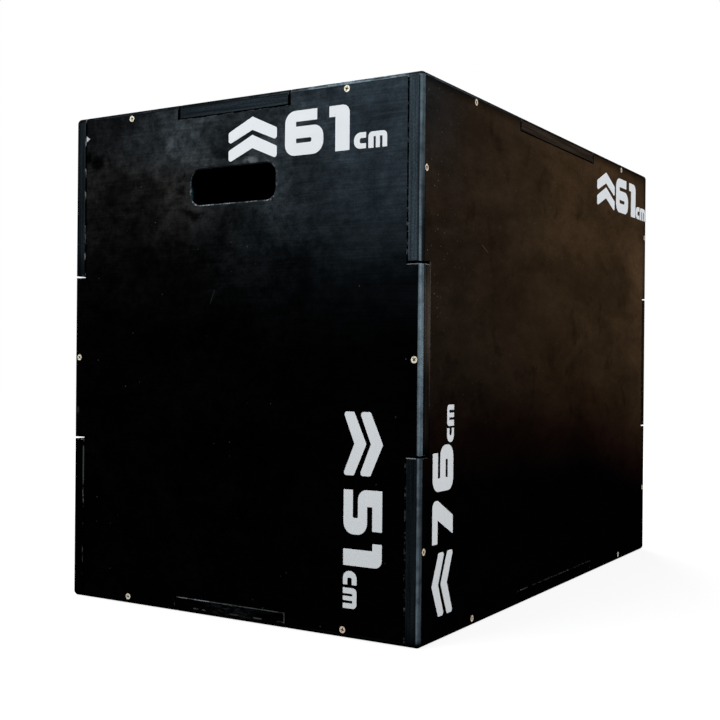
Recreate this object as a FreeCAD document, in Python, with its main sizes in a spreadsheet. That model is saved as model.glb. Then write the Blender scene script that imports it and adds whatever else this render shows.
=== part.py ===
import FreeCAD, Part
import os
import Sketcher

# A jump box of six plywood panels whose edges interlock in fingers, with a housed brace
# inside and one countersunk wood screw through every finger.
# The origin is the middle of the base, +Z is up, the end panels face -Y and +Y
# and the side panels face -X and +X. All sizes are in millimetres.

SIZES = {
    # the box over its faces, and the board that it is made of
    "box_width": 508,
    "box_length": 762,
    "box_height": 610,
    "ply_thickness": 18,
    # the middle fingers of the end panels and of the top and bottom, along the edge they stand in
    "end_finger_height": 203,
    "cap_finger_width": 160,
    "cap_finger_length": 256,
    # the open gap beside a finger, and the play where an edge butts against a panel
    "finger_gap": 2.4,
    "joint_clearance": 0.3,
    # the rounded edges of the whole box, and the bevel on every other edge that shows
    "box_edge_radius": 6,
    "arris_width": 0.9,
    # the hand hole in each end panel, its middle measured down from the top of the box
    "hand_hole_width": 124,
    "hand_hole_height": 42,
    "hand_hole_drop": 102,
    "hand_hole_corner_radius": 13,
    "hand_hole_bevel": 1.5,
    # the grooves in the side panels that hold the brace
    "housing_depth": 5,
    # the countersunk wood screws, whose heads lie just below the face
    "screw_length": 45,
    "screw_diameter": 4,
    "screw_tip_length": 6,
    "screw_tip_diameter": 0.8,
    "screw_head_diameter": 8,
    "screw_head_cone": 2,
    "screw_sink": 0.3,
    "screw_clearance": 0.15,
    # how far a drill stands out of the face that it cuts
    "cut_overrun": 1,
}

# Distances that several pieces share, written in the sheet's sizes.
HALF_WIDTH = "sizes.box_width / 2"
HALF_LENGTH = "sizes.box_length / 2"
HALF_HEIGHT = "sizes.box_height / 2"
PLY = "sizes.ply_thickness"
PLAY = "sizes.joint_clearance"
GAP = "sizes.finger_gap"
HALF_END_FINGER = "sizes.end_finger_height / 2"
HALF_CAP_WIDTH = "sizes.cap_finger_width / 2"
HALF_CAP_LENGTH = "sizes.cap_finger_length / 2"

# A quarter of each panel's stepped outline, from its right-hand middle round to its top middle:
# the places of its upright and level lines in turn.
OUTLINES = {
    "end": (
        HALF_WIDTH,
        HALF_END_FINGER,
        f"{HALF_WIDTH} - {PLY} - {PLAY}",
        HALF_HEIGHT,
        f"{HALF_CAP_WIDTH} + {GAP}",
        f"{HALF_HEIGHT} - {PLY} - {PLAY}",
    ),
    "side": (
        f"{HALF_LENGTH} - {PLY} - {PLAY}",
        f"{HALF_END_FINGER} + {GAP}",
        HALF_LENGTH,
        HALF_HEIGHT,
        f"{HALF_CAP_LENGTH} + {GAP}",
        f"{HALF_HEIGHT} - {PLY} - {PLAY}",
    ),
    "cap": (
        HALF_WIDTH,
        HALF_CAP_LENGTH,
        f"{HALF_WIDTH} - {PLY} - {PLAY}",
        f"{HALF_LENGTH} - {PLY} - {PLAY}",
        HALF_CAP_WIDTH,
        HALF_LENGTH,
    ),
}

# A quarter of each panel's screws, as places across and along its outer face: each is in the middle
# of its finger and half a board in from the edge. None stands for the panel's own middle line.
SCREWS = {
    "end": (
        (f"({HALF_WIDTH} - {PLY} + {HALF_CAP_WIDTH}) / 2", f"{HALF_HEIGHT} - {PLY} / 2"),
        (f"{HALF_WIDTH} - {PLY} / 2", None),
    ),
    "side": (
        (f"({HALF_LENGTH} + {HALF_CAP_LENGTH}) / 2", f"{HALF_HEIGHT} - {PLY} / 2"),
        (f"{HALF_LENGTH} - {PLY} / 2", f"({HALF_HEIGHT} + {HALF_END_FINGER}) / 2"),
    ),
    "cap": (
        (None, f"{HALF_LENGTH} - {PLY} / 2"),
        (f"{HALF_WIDTH} - {PLY} / 2", None),
    ),
}

X = FreeCAD.Vector(1, 0, 0)
Y = FreeCAD.Vector(0, 1, 0)
Z = FreeCAD.Vector(0, 0, 1)

# Each panel: its name, its screws' name, its kind, the directions of its right, its top and its
# outer face, and the middle of that face.
PANELS = (
    ("front_end_panel", "front_panel_screws", "end", X, Z, -Y, {"y": f"-{HALF_LENGTH}", "z": HALF_HEIGHT}),
    ("rear_end_panel", "rear_panel_screws", "end", -X, Z, Y, {"y": HALF_LENGTH, "z": HALF_HEIGHT}),
    ("right_side_panel", "right_side_screws", "side", Y, Z, X, {"x": HALF_WIDTH, "z": HALF_HEIGHT}),
    ("left_side_panel", "left_side_screws", "side", -Y, Z, -X, {"x": f"-{HALF_WIDTH}", "z": HALF_HEIGHT}),
    ("top_panel", "top_panel_screws", "cap", X, Y, Z, {"z": "sizes.box_height"}),
    ("bottom_panel", "bottom_panel_screws", "cap", X, -Y, -Z, {}),
)

# The screws are small and many, so this many flats stand for their round forms.
SCREW_FLAT_COUNT = 8

# Two places nearer to each other than this are the same place.
SAME_PLACE = 1e-5


def make_sheet(doc):
    """The driving sizes, one named cell each."""
    sheet = doc.addObject("Spreadsheet::Sheet", "sizes")
    for row, (name, value) in enumerate(SIZES.items(), 1):
        sheet.set(f"A{row}", name)
        sheet.set(f"B{row}", str(value))
        sheet.setAlias(f"B{row}", name)
    doc.recompute()


def place(item, right, top, outward, middle):
    """Turn an item so that its X, Y and Z point right, to the top and outward, and bind its place."""
    item.Placement = FreeCAD.Placement(FreeCAD.Vector(), FreeCAD.Rotation(right, top, outward, "ZYX"))
    for axis, distance in middle.items():
        item.setExpression(f"Placement.Base.{axis}", distance)


def add_sketch(body, name, offset=None):
    """A sketch on the body's own XY plane, moved from it by bound distances."""
    sketch = body.newObject("Sketcher::SketchObject", name)
    support = next(item for item in body.Origin.OriginFeatures if item.Role == "XY_Plane")
    sketch.AttachmentSupport = [(support, "")]
    sketch.MapMode = "FlatFace"
    for axis, distance in (offset or {}).items():
        sketch.setExpression(f"AttachmentOffset.Base.{axis}", distance)
    return sketch


def bind(sketch, kind, line, value, distance):
    """Hold the start of a line at a distance that follows the sheet."""
    index = sketch.addConstraint(Sketcher.Constraint(kind, line, 1, value))
    sketch.setExpression(f"Constraints[{index}]", distance)


def draw_loop(sketch, corners):
    """Close a loop of straight lines through the corners."""
    count = len(corners)
    for k, corner in enumerate(corners):
        sketch.addGeometry(Part.LineSegment(corner, corners[(k + 1) % count]))
    for k in range(count):
        sketch.addConstraint(Sketcher.Constraint("Coincident", k, 2, (k + 1) % count, 1))


def draw_steps(sketch, quarter):
    """Draw a stepped outline that is alike in all four quarters; return its corners in order."""
    steps = [("XY"[k % 2], distance) for k, distance in enumerate(quarter)]
    tour = [(step, 1, 1) for step in steps]
    tour += [(step, -1, 1) for step in reversed(steps[:-1])]
    tour += [(step, -1, -1) for step in steps[1:]]
    tour += [(step, 1, -1) for step in reversed(steps[1:-1])]
    lines = []
    for (axis, distance), right, top in tour:
        sign = right if axis == "X" else top
        lines.append((axis, f"{sign} * ({distance})"))
    values = [sketch.evalExpression(distance) for axis, distance in lines]
    corners = []
    for k, (axis, distance) in enumerate(lines):
        spot = (values[k], values[k - 1]) if axis == "X" else (values[k - 1], values[k])
        corners.append(FreeCAD.Vector(*spot))
    draw_loop(sketch, corners)
    for k, (axis, distance) in enumerate(lines):
        sketch.addConstraint(Sketcher.Constraint("Vertical" if axis == "X" else "Horizontal", k))
        bind(sketch, f"Distance{axis}", k, values[k], distance)
    return corners


def add_pad(body, sketch, thickness):
    """Thicken an outline inward from the outer face."""
    pad = body.newObject("PartDesign::Pad", "board")
    pad.Profile = sketch
    pad.setExpression("Length", thickness)
    pad.Reversed = True
    body.Document.recompute()


def add_pocket(body, sketch, depth=None, outward=False):
    """Cut an outline out of the body, right through if no depth is given."""
    before = body.Tip.Shape.Volume
    pocket = body.newObject("PartDesign::Pocket", f"{sketch.Name}_cut")
    pocket.Profile = sketch
    pocket.Reversed = outward
    if depth:
        pocket.setExpression("Length", depth)
    else:
        pocket.Type = "ThroughAll"
    body.Document.recompute()
    if pocket.Shape.Volume >= before:
        raise RuntimeError(f"{sketch.Name} cuts nothing")


def dress(body, feature, name, size, distance, wanted):
    """Round or bevel those edges of the body so far that the test picks."""
    base = body.Tip
    picked = [f"Edge{k}" for k, edge in enumerate(base.Shape.Edges, 1) if wanted(edge)]
    work = body.newObject(feature, name)
    work.Base = (base, picked)
    work.setExpression(size, distance)
    body.Document.recompute()


def add_fillet(body, name, radius, wanted):
    dress(body, "PartDesign::Fillet", name, "Radius", radius, wanted)


def add_bevel(body, name, width, wanted):
    dress(body, "PartDesign::Chamfer", name, "Size", width, wanted)


def same(value, target):
    return abs(value - target) < SAME_PLACE


def middle_of(edge):
    return edge.valueAt((edge.FirstParameter + edge.LastParameter) / 2)


def runs_through(edge, corners):
    """True for an edge through the board at one of the outline's corners."""
    box = edge.BoundBox
    upright = same(box.XLength, 0) and same(box.YLength, 0)
    return upright and any(same(box.XMin, corner.x) and same(box.YMin, corner.y) for corner in corners)


def lies_at(edge, depth):
    """True for an edge that lies flat at one depth of the board."""
    return same(edge.BoundBox.ZMin, depth) and same(edge.BoundBox.ZMax, depth)


def ends_finger(edge, box):
    """True for an edge where a finger reaches one of the faces of the whole jump box."""
    spot = middle_of(edge)
    across = same(spot.x, box.XMin) or same(spot.x, box.XMax)
    along = same(spot.y, box.YMin) or same(spot.y, box.YMax)
    return across or along


def finger_corners(corners):
    """The outward corners of an outline's fingers, without those at the corners of the whole box."""
    reach = max(corner.x for corner in corners), max(corner.y for corner in corners)
    found = []
    for k, corner in enumerate(corners):
        arriving = corner - corners[k - 1]
        leaving = corners[(k + 1) % len(corners)] - corner
        points_outward = arriving.cross(leaving).z > 0
        at_box_corner = same(abs(corner.x), reach[0]) and same(abs(corner.y), reach[1])
        if points_outward and not at_box_corner:
            found.append(corner)
    return found


def make_board(doc, name, kind):
    """A panel in its own frame: outer face at Z 0, the board below it, fingers cut and bevelled."""
    body = doc.addObject("PartDesign::Body", f"{name}_board")
    outline = add_sketch(body, f"{name}_outline")
    corners = finger_corners(draw_steps(outline, OUTLINES[kind]))
    add_pad(body, outline, PLY)
    box = body.Tip.Shape.BoundBox

    def shows(edge):
        inner_arris = lies_at(edge, box.ZMin) and ends_finger(edge, box)
        return inner_arris or lies_at(edge, box.ZMax) or runs_through(edge, corners)

    add_bevel(body, "arrises", "sizes.arris_width", shows)
    return body


def add_hand_hole(body, name):
    """A rounded slot to carry the box by, with bevelled rims."""
    lift = f"{HALF_HEIGHT} - sizes.hand_hole_drop"
    sketch = add_sketch(body, f"{name}_hand_hole", {"y": lift})
    corners = draw_steps(sketch, ("sizes.hand_hole_width / 2", "sizes.hand_hole_height / 2"))
    raised = [corner + Y * sketch.evalExpression(lift) for corner in corners]
    hole = FreeCAD.BoundBox()
    for corner in raised:
        hole.add(corner)
    add_pocket(body, sketch)
    radius = "sizes.hand_hole_corner_radius"
    add_fillet(body, "hole_corners", radius, lambda edge: runs_through(edge, raised))
    board = body.Tip.Shape.BoundBox
    hole.enlarge(SAME_PLACE)

    def on_rim(edge):
        spot = middle_of(edge)
        flat = lies_at(edge, board.ZMin) or lies_at(edge, board.ZMax)
        return flat and hole.isInside(FreeCAD.Vector(spot.x, spot.y, 0))

    add_bevel(body, "hole_rims", "sizes.hand_hole_bevel", on_rim)


def add_housing(body, name):
    """A groove across the middle of the inner face for the brace."""
    sketch = add_sketch(body, f"{name}_housing", {"z": f"-{PLY}"})
    draw_steps(sketch, (f"{PLY} / 2 + {PLAY}", HALF_HEIGHT))
    add_pocket(body, sketch, "sizes.housing_depth", outward=True)


def make_panel(doc, name, kind):
    """One of the six boards, with the cuts of its kind."""
    body = make_board(doc, name, kind)
    if kind == "end":
        add_hand_hole(body, name)
    if kind == "side":
        add_housing(body, name)
    return body


def make_brace(doc):
    """The upright board inside, halfway along the box, held in the side panels' grooves."""
    brace = doc.addObject("PartDesign::Body", "centre_brace")
    sketch = add_sketch(brace, "brace_outline")
    half_span = f"{HALF_WIDTH} - {PLY} + sizes.housing_depth - {PLAY}"
    draw_steps(sketch, (half_span, f"{HALF_HEIGHT} - {PLY} - {PLAY}"))
    add_pad(brace, sketch, PLY)
    place(brace, X, Z, -Y, {"y": f"-{PLY} / 2", "z": HALF_HEIGHT})
    return brace


def make_turned(doc, name, sections):
    """A form turned about Z, in flats, from its diameters and their heights."""
    rings = []
    for diameter, height in sections:
        ring = doc.addObject("Part::RegularPolygon", f"{name}_ring")
        ring.Polygon = SCREW_FLAT_COUNT
        ring.setExpression("Circumradius", f"({diameter}) / 2")
        ring.setExpression("Placement.Base.z", height)
        rings.append(ring)
    form = doc.addObject("Part::Loft", name)
    form.Sections = rings
    form.Solid = True
    form.Ruled = True
    return form


def make_screw(doc):
    """A countersunk wood screw pointing down, with the panel's outer face at Z 0."""
    end = "-sizes.screw_sink - sizes.screw_length"
    sections = (
        ("sizes.screw_tip_diameter", end),
        ("sizes.screw_diameter", f"{end} + sizes.screw_tip_length"),
        ("sizes.screw_diameter", "-sizes.screw_sink - sizes.screw_head_cone"),
        ("sizes.screw_head_diameter", "-sizes.screw_sink"),
    )
    return make_turned(doc, "screw", sections)


def make_drill(doc):
    """The hole that one screw needs in the two boards that it holds."""
    head = "sizes.screw_head_diameter + 2 * sizes.screw_clearance"
    shank = "sizes.screw_diameter + 2 * sizes.screw_clearance"
    sections = (
        (shank, "-sizes.screw_sink - sizes.screw_length - sizes.screw_clearance"),
        (shank, "-sizes.screw_sink - sizes.screw_head_cone"),
        (head, "-sizes.screw_sink"),
        (head, "sizes.cut_overrun"),
    )
    return make_turned(doc, "drill", sections)


def make_set(doc, name, item, kind):
    """Copies of a screw or of its hole at all the screw places of a panel."""
    copies = []
    for across, along in SCREWS[kind]:
        for right in (1, -1) if across else (0,):
            for top in (1, -1) if along else (0,):
                copy = doc.addObject("App::Link", f"{name}_{len(copies) + 1}")
                copy.LinkedObject = item
                copy.setExpression("Placement.Base.x", f"{right} * ({across or 0})")
                copy.setExpression("Placement.Base.y", f"{top} * ({along or 0})")
                copies.append(copy)
    group = doc.addObject("Part::Compound", name)
    group.Links = copies
    return group


def make_rounded_box(doc):
    """The whole jump box as one block with rounded edges, to which every board is trimmed."""
    block = doc.addObject("PartDesign::Body", "rounded_box")
    sketch = add_sketch(block, "block_outline", {"z": "sizes.box_height"})
    draw_steps(sketch, (HALF_WIDTH, HALF_LENGTH))
    add_pad(block, sketch, "sizes.box_height")
    add_fillet(block, "box_edges", "sizes.box_edge_radius", lambda edge: True)
    return block


def finish_panel(doc, name, board, block, holes):
    """Round the board where it forms the box's edges, and drill every screw hole that meets it."""
    trimmed = doc.addObject("Part::Common", f"{name}_trimmed")
    trimmed.Base = board
    trimmed.Tool = block
    panel = doc.addObject("Part::Cut", name)
    panel.Base = trimmed
    panel.Tool = holes
    return panel


def check(doc, nodes):
    """Stop if anything failed, or if a piece is empty or not sound."""
    for item in doc.Objects:
        if {"Invalid", "Error"} & set(item.State):
            raise RuntimeError(f"{item.Label} failed: {item.State}")
    for node in nodes:
        if node.Shape.isNull() or not node.Shape.isValid():
            raise RuntimeError(f"{node.Label} is not a sound solid")


def build():
    doc = FreeCAD.newDocument("jump_box")
    make_sheet(doc)
    screw = make_screw(doc)
    drill = make_drill(doc)
    boards = []
    screw_sets = []
    hole_sets = []
    for name, screws_name, kind, right, top, outward, middle in PANELS:
        board = make_panel(doc, name, kind)
        screws = make_set(doc, screws_name, screw, kind)
        holes = make_set(doc, f"{name}_holes", drill, kind)
        for item in (board, screws, holes):
            place(item, right, top, outward, middle)
        boards.append((name, board))
        screw_sets.append(screws)
        hole_sets.append(holes)
    block = make_rounded_box(doc)
    all_holes = doc.addObject("Part::Compound", "all_holes")
    all_holes.Links = hole_sets
    panels = [finish_panel(doc, name, board, block, all_holes) for name, board in boards]
    nodes = [*panels, make_brace(doc), *screw_sets]
    doc.recompute()
    check(doc, nodes)
    return nodes


def write(nodes):
    os.makedirs("parts", exist_ok=True)
    for node in nodes:
        node.Shape.exportStep(f"parts/{node.Label}.step")
        print(f"{node.Label}: {len(node.Shape.Solids)} solids, {node.Shape.Volume:.0f} cubic mm")


write(build())
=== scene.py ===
# %% [markdown]
# # A plywood jump box
# The box is a closed carcass of six painted plywood panels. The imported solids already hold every
# board, finger and hole at its true size, so they are loaded first and never changed: this lesson
# only dresses them with finishes, detailed screws and the painted height marks.

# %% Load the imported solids
import math

import bmesh
import bpy
from mathutils import Matrix, Vector


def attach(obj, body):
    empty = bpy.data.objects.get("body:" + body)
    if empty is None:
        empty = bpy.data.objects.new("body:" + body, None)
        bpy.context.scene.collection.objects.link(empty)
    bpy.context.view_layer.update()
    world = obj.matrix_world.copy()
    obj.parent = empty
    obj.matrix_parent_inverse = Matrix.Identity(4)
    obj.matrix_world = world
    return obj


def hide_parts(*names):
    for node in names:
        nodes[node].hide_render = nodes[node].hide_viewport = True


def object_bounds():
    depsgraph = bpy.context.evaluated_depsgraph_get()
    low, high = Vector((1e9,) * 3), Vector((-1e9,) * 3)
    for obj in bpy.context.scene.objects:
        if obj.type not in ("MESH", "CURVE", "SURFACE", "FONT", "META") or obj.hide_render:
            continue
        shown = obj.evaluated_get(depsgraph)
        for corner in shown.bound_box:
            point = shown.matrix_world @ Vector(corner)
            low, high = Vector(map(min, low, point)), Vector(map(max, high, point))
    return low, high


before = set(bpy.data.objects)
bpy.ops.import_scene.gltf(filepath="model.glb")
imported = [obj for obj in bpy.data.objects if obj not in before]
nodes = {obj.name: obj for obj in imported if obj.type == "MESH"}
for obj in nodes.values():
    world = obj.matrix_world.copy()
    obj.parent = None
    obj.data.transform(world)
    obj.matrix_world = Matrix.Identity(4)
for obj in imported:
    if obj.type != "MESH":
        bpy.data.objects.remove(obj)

cad_low, cad_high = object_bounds()
print("loaded", sorted(nodes))

# %% [markdown]
# ## The camera
# The camera looks at the box's near corner from half its height, so the top doesn't show. Its place,
# turn and focal length make the six visible corners of the box land where they belong in a square
# picture. The small shift stands for a cropped frame.

# %% Camera
PHOTO_SIDE = 720
FOCAL_PIXELS = 1108.2
LENS_AXIS_PIXEL = (381.2, 363.3)
SENSOR_WIDTH = 36
CAMERA_PLACE = Vector((0.8133, -1.4010, 0.3024))
YAW, PITCH, ROLL = (math.radians(angle) for angle in (30.816, -0.0735, 0.4973))
scene = bpy.context.scene


def add_object(name, data):
    """A new object in the scene."""
    made = bpy.data.objects.new(name, data)
    scene.collection.objects.link(made)
    return made


def camera_turn():
    """The camera's axes, from its turn about the upright, its tilt and its roll."""
    forward = Vector((-math.sin(YAW) * math.cos(PITCH), math.cos(YAW) * math.cos(PITCH), math.sin(PITCH)))
    level = Vector((math.cos(YAW), math.sin(YAW), 0))
    right = level * math.cos(ROLL) + level.cross(forward) * math.sin(ROLL)
    return Matrix((right, right.cross(forward), -forward)).transposed().to_4x4()


camera_data = bpy.data.cameras.new("camera")
camera_data.sensor_width = SENSOR_WIDTH
camera_data.lens = FOCAL_PIXELS / PHOTO_SIDE * SENSOR_WIDTH
camera_data.shift_x = 0.5 - LENS_AXIS_PIXEL[0] / PHOTO_SIDE
camera_data.shift_y = LENS_AXIS_PIXEL[1] / PHOTO_SIDE - 0.5
camera = add_object("camera", camera_data)
camera.matrix_world = Matrix.Translation(CAMERA_PLACE) @ camera_turn()
scene.camera = camera
scene.view_settings.view_transform = "Standard"
print("lens", round(camera_data.lens, 2), "mm")

# %% [markdown]
# ## Sums with sockets
# Node trees are easier to read as sums than as lists of links. A small class wraps an output socket:
# adding or multiplying two of them adds a Math node, and one method makes every other kind of node.

# %% A socket that can be used in sums


class Wire:
    """An output socket of a node tree."""

    def __init__(self, tree, socket=None):
        self.tree = tree
        self.socket = socket

    def node(self, kind, sockets=None, settings=None, output=0):
        """Add a node and return one of its outputs, by name or by place."""
        made = self.tree.nodes.new(kind)
        for name, value in (settings or {}).items():
            setattr(made, name, value)
        for key, value in (sockets or {}).items():
            self.fill(self.pick(made.inputs, key), value)
        return Wire(self.tree, self.pick(made.outputs, output) if made.outputs else None)

    def fill(self, socket, value):
        """Link wires to a socket, or set its plain value. A colour has red, green and blue."""
        for wire in value if isinstance(value, list) else [value]:
            if isinstance(wire, Wire):
                self.tree.links.new(wire.socket, socket)
            else:
                socket.default_value = (*wire, 1.0) if socket.type == "RGBA" else wire

    @staticmethod
    def pick(sockets, key):
        """The socket in use that has this name or this place."""
        shown = [socket for socket in sockets if socket.enabled]
        return shown[key] if isinstance(key, int) else next(socket for socket in shown if socket.name == key)

    def math(self, operation, *values):
        return self.node("ShaderNodeMath", dict(enumerate(values)), {"operation": operation})

    def __add__(self, other):
        return self.math("ADD", self, other)

    def __sub__(self, other):
        return self.math("SUBTRACT", self, other)

    def __rsub__(self, other):
        return self.math("SUBTRACT", other, self)

    def __mul__(self, other):
        return self.math("MULTIPLY", self, other)

    def __gt__(self, other):
        return self.math("GREATER_THAN", self, other)

    def __lt__(self, other):
        return self.math("LESS_THAN", self, other)

    __radd__ = __add__
    __rmul__ = __mul__

    def size(self):
        return self.math("ABSOLUTE", self)

    def root(self):
        return self.math("SQRT", self)

    def most(self, other):
        return self.math("MAXIMUM", self, other)

    def least(self, other):
        return self.math("MINIMUM", self, other)

    def rise(self, begins, ends, before=0.0, after=1.0):
        """A soft step from one value to another, between the places where it begins and ends."""
        sockets = {"Value": self, "From Min": begins, "From Max": ends, "To Min": before, "To Max": after}
        return self.node("ShaderNodeMapRange", sockets, {"interpolation_type": "SMOOTHSTEP"})

    def vector(self, **parts):
        """A vector of wires or numbers, each given for its axis."""
        return self.node("ShaderNodeCombineXYZ", parts)

    def parts(self):
        """The three numbers of a vector."""
        return [self.node("ShaderNodeSeparateXYZ", {"Vector": self}, output=k) for k in range(3)]

    def mixed(self, first, second):
        """A colour that goes from the first to the second as this number goes from 0 to 1."""
        return self.node("ShaderNodeMix", {"Factor": self, "A": first, "B": second}, {"data_type": "RGBA"})


print("helpers ready")

# %% [markdown]
# ## Floor, background and light
# The box stands on a plain white ground. What the camera and reflections see of the world and the
# floor is white, while nearly all the light on the paint comes from the lamps. Near the box the floor
# glows a little less and takes the rest from the lamps, so the soft shadow stays. Large square lamps
# give even studio light: one on each face that the camera sees, one behind and one above.

# %% Floor and background
FLOOR_RADIUS = 9.0
FLOOR_CORNERS = 96
FLOOR_COLOUR = (0.14, 0.14, 0.14)
SHADOW_GLOW_LOSS = 0.16
SHADOW_REACH = (0.6, 1.7)
AMBIENT = 0.08


def start_finish(name):
    """A new finish with an empty node tree."""
    finish = bpy.data.materials.new(name)
    finish.use_nodes = True
    finish.node_tree.nodes.clear()
    return finish, Wire(finish.node_tree)


def seen_directly(start):
    """1 for rays of the camera, of reflections and of glass."""
    path = [start.node("ShaderNodeLightPath", output=name)
            for name in ("Is Camera Ray", "Is Glossy Ray", "Is Transmission Ray")]
    return path[0].most(path[1]).most(path[2])


def make_floor_finish():
    """A white that glows for the camera, a little less near the box."""
    finish, start = start_finish("white_ground")
    place = start.node("ShaderNodeTexCoord", output="Object")
    distance = place.node("ShaderNodeVectorMath", {0: place}, {"operation": "LENGTH"}, "Value")
    glow = 1 - SHADOW_GLOW_LOSS * (1 - distance.rise(*SHADOW_REACH))
    lit = start.node("ShaderNodeBsdfDiffuse", {"Color": FLOOR_COLOUR})
    shine = start.node("ShaderNodeEmission", {"Strength": glow * seen_directly(start)})
    both = start.node("ShaderNodeAddShader", {0: lit, 1: shine})
    start.node("ShaderNodeOutputMaterial", {"Surface": both})
    return finish


def make_mesh(name, corners, faces, finish):
    """A plain mesh object at the origin with one finish."""
    mesh = bpy.data.meshes.new(name)
    mesh.from_pydata(corners, [], faces)
    mesh.materials.append(finish)
    return add_object(name, mesh)


floor_angles = [k * math.tau / FLOOR_CORNERS for k in range(FLOOR_CORNERS)]
floor_rim = [(FLOOR_RADIUS * math.cos(angle), FLOOR_RADIUS * math.sin(angle), 0) for angle in floor_angles]
floor = make_mesh("floor", floor_rim, [range(FLOOR_CORNERS)], make_floor_finish())

world = bpy.data.worlds.new("studio")
scene.world = world
world.use_nodes = True
world.node_tree.nodes.clear()
sky = Wire(world.node_tree)
strength = AMBIENT + (1 - AMBIENT) * seen_directly(sky)
background = sky.node("ShaderNodeBackground", {"Color": (1, 1, 1), "Strength": strength})
sky.node("ShaderNodeOutputWorld", {"Surface": background})
print("floor", floor.name, "and world", world.name)

# %% Lamps
LAMPS = {
    # lamp: its place, where it points, its side, its power and its colour
    "lamp_on_front": ((-0.6, -1.6, 2.0), (0.0, -0.38, 0.4), 1.2, 56, (0.96, 0.98, 1.0)),
    "lamp_on_right": ((2.3, -0.4, 2.3), (0.25, 0.0, 0.4), 1.3, 72, (0.98, 0.99, 1.0)),
    "lamp_behind": ((-1.6, 2.4, 2.0), (-0.1, 0.2, 0.35), 1.3, 104, (1.0, 1.0, 1.0)),
    "lamp_above": ((0.0, 0.0, 2.7), (0.0, 0.0, 0.6), 1.6, 26, (1.0, 1.0, 1.0)),
}
for name, (spot, target, side, power, tint) in LAMPS.items():
    lamp_data = bpy.data.lights.new(name, "AREA")
    lamp_data.size = side
    lamp_data.energy = power
    lamp_data.color = tint
    lamp = add_object(name, lamp_data)
    lamp.location = spot
    lamp.rotation_euler = (Vector(target) - Vector(spot)).to_track_quat("-Z", "Y").to_euler()
print("lamps", list(LAMPS))

# %% [markdown]
# ## Black paint on plywood
# The panels are rolled with a thin matt black. On the broad faces it is cloudy, with fine brush lines,
# and light and sheen are painted onto it: lighter towards the top, cool on the ends and brown on the
# sides, fading to black towards the floor. The sawn edges drink the paint, so their layers show, and
# they carry the same painted light. The rounded outer edges have rubbed to a paler grey that also stands
# for their painted highlight. The small bevels along the joints hold dirt, with pale nicks that are partly
# painted highlight and ledges with a painted highlight, and inside the joints and the hand hole all is
# black, a painted shade. Which of these a point belongs to follows from the way it faces and its depth
# below the outer skin.

# %% Which part of a board a point lies on
HALF_BOX = tuple(round((high - low) / 2, 4) for low, high in zip(cad_low, cad_high))
HALF_WIDTH, HALF_LENGTH, HALF_HEIGHT = HALF_BOX
EDGE_RADIUS = 0.006
# A kind of board is numbered by the axis through its thickness.
SIDE, END, CAP = range(3)
# Ramps on the share of the normal along an axis.
BROAD_FACING = (0.9, 0.97)
SQUARE_FACING = (0.93, 0.99)
# Ramps on a distance from the rounded edges, in metres.
ON_ROUNDED_EDGE = (-0.0004, 0.0002)
BELOW_SKIN = (0.0011, 0.0017)
EDGE_SKIRT = (0.0, 0.0012)


class BoardSpot:
    """A point on a board: where it is, which way it faces, and masks of the board's parts."""

    def __init__(self, start, kind):
        self.kind = kind
        self.place = start.node("ShaderNodeTexCoord", output="Object")
        self.spot = self.place.parts()
        flat = [part for axis, part in enumerate(self.spot) if axis != kind]
        self.flat = start.vector(X=flat[0], Y=flat[1])
        normal = start.node("ShaderNodeNewGeometry", output="Normal").parts()
        self.right, self.back, self.up = normal
        self.facing = [part.size() for part in normal]
        self.broad = self.facing[kind].rise(*BROAD_FACING)
        squarest = self.facing[SIDE].most(self.facing[END]).most(self.facing[CAP])
        turned = 1 - squarest.rise(*SQUARE_FACING)
        x, y, z = self.spot
        outer = [part.size() - (half - EDGE_RADIUS)
                 for half, part in zip(HALF_BOX, (x, y, z - HALF_HEIGHT))]
        squares = [part.most(0.0) * part.most(0.0) for part in outer]
        depth = EDGE_RADIUS - (squares[0] + squares[1] + squares[2]).root()
        second = outer[0].least(outer[1]).most(outer[0].most(outer[1]).least(outer[2]))
        on_edge = second.rise(*ON_ROUNDED_EDGE)
        self.inside = depth.rise(*BELOW_SKIN)
        self.skirt = second.rise(*EDGE_SKIRT)
        self.rounding = turned * on_edge
        self.arris = turned * (1 - on_edge)

    def area(self, area, height=None):
        """A soft area: its share where it is full and 0 outside. The letter h stands for the height."""
        share, *ramps = area
        x, y, z = self.spot
        places = {"x": x, "y": y, "z": z, "h": height}
        for axis, begins, full in ramps:
            share = places[axis].rise(begins, full) * share
        return share

    def layered(self, tints, height=None):
        """The first colour, with the others laid over it, each in its area."""
        laid, *others = tints
        for tint, area in others:
            laid = self.area(area, height).mixed(laid, tint)
        return laid


print("half sizes of the box", HALF_BOX)

# %% Patterns in the paint
SPECK_CORE = 0.5
SCRATCH_CORE = 0.3
SCRATCH_WIDTH = 0.0006


def stretched(place, scales):
    """Coordinates for a pattern that is drawn out along some axes."""
    return place.node("ShaderNodeMapping", {"Vector": place, "Scale": scales})


def pattern(place, scale, ramp=None, detail=3.0, roughness=0.55, distortion=0.0):
    """A noise, drawn out if it has a scale for each axis, and sharpened if it has a ramp."""
    if isinstance(scale, tuple):
        place = stretched(place, scale)
        scale = 1.0
    noise = place.node("ShaderNodeTexNoise", {
        "Vector": place, "Scale": scale, "Detail": detail, "Roughness": roughness, "Distortion": distortion})
    return noise.rise(*ramp) if ramp else noise


def specks(flat, scale, radius, share):
    """Round dots in a share of the cells of a loose flat grid, each with a strength of its own."""
    settings = {"voronoi_dimensions": "2D"}
    sockets = {"Vector": flat, "Scale": scale}
    reach = flat.node("ShaderNodeTexVoronoi", sockets, settings, "Distance")
    chance = flat.node("ShaderNodeTexVoronoi", sockets, settings, "Color").parts()
    dot = reach.rise(radius * SPECK_CORE, radius, 1.0, 0.0)
    return dot * (chance[0] > 1 - share) * chance[1]


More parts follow.
